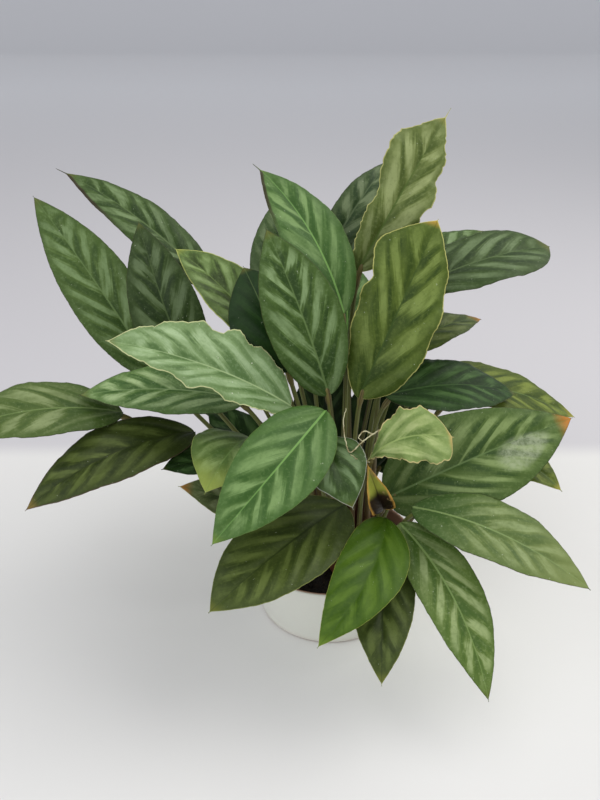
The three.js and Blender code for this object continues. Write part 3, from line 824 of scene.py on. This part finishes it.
def stalk_material(name, number):
    """Reddish at the foot, olive above, with long dark streaks."""
    sh, skin = Shader(name), STALK_SKIN
    along = sh.fact("along")
    sh.colour = skin.foot
    sh.paint(skin.middle, sh.step(along, *skin.rise))
    sh.paint(skin.joint, sh.step(along, JOINT.begins - skin.joint_blur, JOINT.begins + skin.joint_blur))
    around = sh.times(sh.fact("across"), skin.around)
    place = sh.vector(sh.times(along, skin.lengthwise), around, number * skin.seed)
    streaks = sh.noise(*skin.noise, at=place)
    sh.paint(skin.streak, sh.step(streaks, *skin.streaks))
    sh.bump(streaks, *skin.bump)
    return sh.finish(sh.step(streaks, *skin.rough), skin.specular)


def strand_material():
    """Pale straw with brown stretches."""
    sh, skin = Shader("dried_strand"), STRAND_SKIN
    grain = sh.noise(*skin.noise)
    sh.colour = skin.pale
    sh.paint(skin.brown, sh.step(grain, *skin.step))
    sh.bump(grain, *skin.bump)
    return sh.finish(skin.rough)


def pot_material():
    """White glaze with a faint mottle, and on the inner wall a warm tint that is partly painted shade,
    darkest near the mix from soil stain and painted shade.
    """
    sh, skin = Shader("pot_glaze"), POT_SKIN
    x, y, z = sh.apart()
    slope = (POT.rim - POT.foot) / POT.height
    wall = sh.scaled(z, slope, (POT.foot - POT.wall / 2) * MM)
    inside = sh.step(sh.minus(sh.distance(x, y), wall), *skin.inside)
    mottle = sh.noise(*skin.noise)
    sh.colour = skin.glaze
    sh.paint(skin.warm, sh.step(mottle, *skin.mottle))
    # painted shade on the inner wall, together with its warm tint
    sh.paint(skin.inner, inside)
    # darker near the mix: soil stain and painted shade
    stain = sh.step(sh.plus(z, sh.swing(mottle, skin.stain_shift)), *skin.stain_step)
    sh.paint(skin.stain, sh.times(sh.times(inside, stain), skin.stain_strength))
    return sh.finish(sh.step(mottle, *skin.rough), skin.specular)


def mix_material():
    """Near-black peat, with lighter crumbs and a few fibres."""
    sh, skin = Shader("potting_mix"), MIX_SKIN
    grain, clods = sh.noise(*skin.grain), sh.noise(*skin.clods)
    drawn_out = sh.node("Mapping", {"Vector": sh.place(), "Scale": skin.fibre_scale}).outputs[0]
    fibres = sh.noise(*skin.fibres, at=drawn_out)
    sh.colour = skin.dark
    sh.paint(skin.light, sh.step(clods, *skin.light_step))
    sh.paint(skin.dark, sh.step(grain, *skin.dark_step))
    sh.paint(skin.fibre, sh.step(fibres, *skin.fibre_step))
    sh.bump(grain, *skin.bump)
    return sh.finish(sh.step(grain, *skin.rough), skin.specular)


# Pot and potting mix

def pot_radius(height):
    return blend(POT.foot, POT.rim, height / POT.height)


def inner_radius(height):
    return pot_radius(height) - POT.wall


def corner(radius, height, size, start, end):
    """Round corner of a profile, from one angle to another in degrees."""
    angles = np.radians(np.linspace(start, end, POT.corner_steps + 1))
    return [(radius + size * cos(a), height + size * sin(a)) for a in angles]


def lathe(profile, sides):
    """Points and faces of a profile that is turned about the pot's axis and starts and ends on it."""
    angles = np.linspace(0, TURN, sides, endpoint=False)
    rings = profile[1:-1]
    points = [(r * cos(a), r * sin(a), z) for r, z in rings for a in angles]
    points += [(0, 0, profile[0][1]), (0, 0, profile[-1][1])]
    return np.array(points, float), closed_faces(len(rings), sides)


def make_pot():
    floor, bend, lip, edge = POT.floor, POT.inner_corner, POT.lip, POT.foot_edge
    outer = corner(POT.foot - edge, edge, edge, -90, 0)
    outer += [(pot_radius(height), height) for height in POT.outer_rings]
    rim = corner(POT.rim - lip, POT.height - lip, lip, 0, 180)
    inner = [(inner_radius(height), height) for height in POT.inner_rings]
    inner += corner(inner_radius(floor) - bend, floor + bend, bend, 0, -90)
    reach = DRAIN.ring + DRAIN.radius + DRAIN.flat
    profile = [(0, 0), (reach, 0), *outer, *rim, *inner, (reach, floor), (0, floor)]
    points, faces = lathe(profile, POT.sides)
    pot = mesh_object("round_pot", points, faces, [pot_material()])
    for i in range(DRAIN.count):
        drill_hole(pot, TURN * i / DRAIN.count)
    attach(pot, "root")
    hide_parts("pot")


def drill_hole(pot, angle):
    """Cuts a drain hole through the floor."""
    radius, below, above = DRAIN.radius, -DRAIN.past, POT.floor + DRAIN.past
    points, faces = lathe([(0, below), (radius, below), (radius, above), (0, above)], DRAIN.sides)
    points = points + (DRAIN.ring * cos(angle), DRAIN.ring * sin(angle), 0)
    drill = mesh_object("drill", points, faces, [])
    cut = pot.modifiers.new("hole", "BOOLEAN")
    cut.object, cut.operation, cut.solver = drill, "DIFFERENCE", "EXACT"
    with bpy.context.temp_override(object=pot, active_object=pot, selected_objects=[pot]):
        bpy.ops.object.modifier_apply(modifier=cut.name)
    bpy.data.objects.remove(drill)


def lumpiness(rng, count, low, high):
    """A bumpy height over the mix's surface, made of many sine waves in random directions."""
    turn = rng.uniform(0, TURN, count)
    length = np.exp(rng.uniform(log(low), log(high), count))
    start = rng.uniform(0, TURN, count)
    kx, ky = TURN / length * np.cos(turn), TURN / length * np.sin(turn)
    size = length / length.sum() * sqrt(count)

    def height(x, y):
        return sum(a * np.sin(u * x + v * y + p) for a, u, v, p in zip(size, kx, ky, start))
    return height


def make_mix():
    rng = np.random.default_rng(SOIL.seed)
    edge = inner_radius(SOIL.level) - SOIL.clear
    bumps = lumpiness(rng, SOIL.waves, SOIL.shortest, SOIL.longest)

    def height(x, y):
        away = np.hypot(x, y)
        mound = SOIL.mound * np.cos(pi / 2 * np.minimum(away / edge, 1))
        return SOIL.level + mound + SOIL.lumps * bumps(x, y) * smooth(edge, edge - SOIL.calm_edge, away)

    points, faces = lathe(mix_profile(edge), SOIL.spokes)
    top = points[:, 2] == SOIL.level
    points[top, 2] = height(points[top, 0], points[top, 1])
    ball, ball_faces = crumb_shape()
    crumbs = [(crumb(rng, ball, edge, height), ball_faces) for _ in range(CRUMBS.count)]
    mix = mesh_object("potting_mix", *joined([(points, faces)] + crumbs), [mix_material()])
    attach(mix, "root")
    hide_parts("soil")


def mix_profile(edge):
    """Up the mix's side from its flat underside, and inwards over its surface to the middle."""
    deep = SOIL.level - SOIL.shell
    low = inner_radius(deep) - SOIL.clear
    rings = [(radius, SOIL.level) for radius in np.linspace(edge, edge / SOIL.rings, SOIL.rings)]
    return [(0, deep), (low / 2, deep), (low, deep), *rings, (0, SOIL.level)]


def crumb(rng, ball, edge, height):
    """Points of one rough crumb that lies somewhere on the mix."""
    angle = rng.uniform(0, TURN)
    grown = (CRUMBS.largest / CRUMBS.smallest) ** (rng.uniform() ** CRUMBS.mostly_small)
    radius = CRUMBS.smallest * grown / 2
    reach = (edge - radius - CRUMBS.clear) * sqrt(rng.uniform())
    x, y = reach * cos(angle), reach * sin(angle)
    rough = 1 + CRUMBS.rough * rng.standard_normal((len(ball), 1)).clip(-1, 1)
    shape = ball * rough * rng.uniform(CRUMBS.squashed, CRUMBS.stretched, 3)
    return shape * radius + (x, y, height(x, y) + radius * CRUMBS.raised)


def crumb_shape():
    angles = np.linspace(-pi / 2, pi / 2, CRUMBS.rings)
    return lathe([(max(cos(a), 0), sin(a)) for a in angles], CRUMBS.sides)


# Studio

def make_floor():
    """A flat floor whose far edge turns up, so that it fills the picture to its top."""
    half, lip = FLOOR.half / MM, FLOOR.lip / MM
    rows = [(-half, 0), (0, 0), (half, 0), (half * FLOOR.lip_reach, lip)]
    points = np.array([(x, y, z) for y, z in rows for x in (-half, half)], float)
    faces = [(2 * i, 2 * i + 1, 2 * i + 3, 2 * i + 2) for i in range(len(rows) - 1)]
    floor = mesh_object("floor", points, faces, [floor_material()])


def floor_material():
    sh = Shader("studio_floor")
    x, y, _ = sh.apart()
    away = sh.distance(sh.minus(x, FLOOR.spot[0]), sh.minus(y, FLOOR.spot[1]))
    sh.colour = FLOOR.near
    # painted light: a paler patch of floor under the plant that lifts the plant's shadow
    sh.paint(FLOOR.bright, sh.step(away, FLOOR.reach, 0))
    sh.paint(FLOOR.far, sh.step(y, FLOOR.begins, FLOOR.ends))
    sh.paint(FLOOR.farthest, sh.step(y, FLOOR.ends, FLOOR.fades))
    return sh.finish(FLOOR.rough, FLOOR.specular)


def make_lights():
    world = bpy.data.worlds.new("studio")
    world.use_nodes = True
    background = world.node_tree.nodes["Background"]
    background.inputs["Color"].default_value = linear(WORLD.colour)
    background.inputs["Strength"].default_value = WORLD.strength
    bpy.context.scene.world = world
    for lamp in LAMPS:
        light = bpy.data.lights.new(lamp.name, "AREA")
        light.shape, light.size, light.energy = "DISK", lamp.size, lamp.watts
        light.color = linear(lamp.colour)[:3]
        made = new_object(lamp.name, light)
        made.location = lamp.place
        made.rotation_euler = look_along(np.subtract(LAMP_AIM, lamp.place))


def look_along(aim):
    """Rotation that turns a lamp's -Z along a direction, with its +Y upwards."""
    flat = hypot(*aim[:2])
    return (atan2(flat, -aim[2]), 0, atan2(-aim[0], aim[1]))


def make_camera():
    camera = bpy.data.cameras.new("camera")
    camera.lens, camera.sensor_width = CAMERA.lens, CAMERA.sensor
    camera.clip_start, camera.clip_end = CAMERA.clip
    made = bpy.context.scene.camera = new_object("camera", camera)
    made.location = [c * MM for c in CAMERA.place]
    made.rotation_euler = (radians(90 - CAMERA.pitch), 0, 0)


make_camera()
make_lights()
make_floor()
make_pot()
make_mix()
make_strands()
make_leaves()
bpy.context.scene.view_settings.view_transform = "Standard"
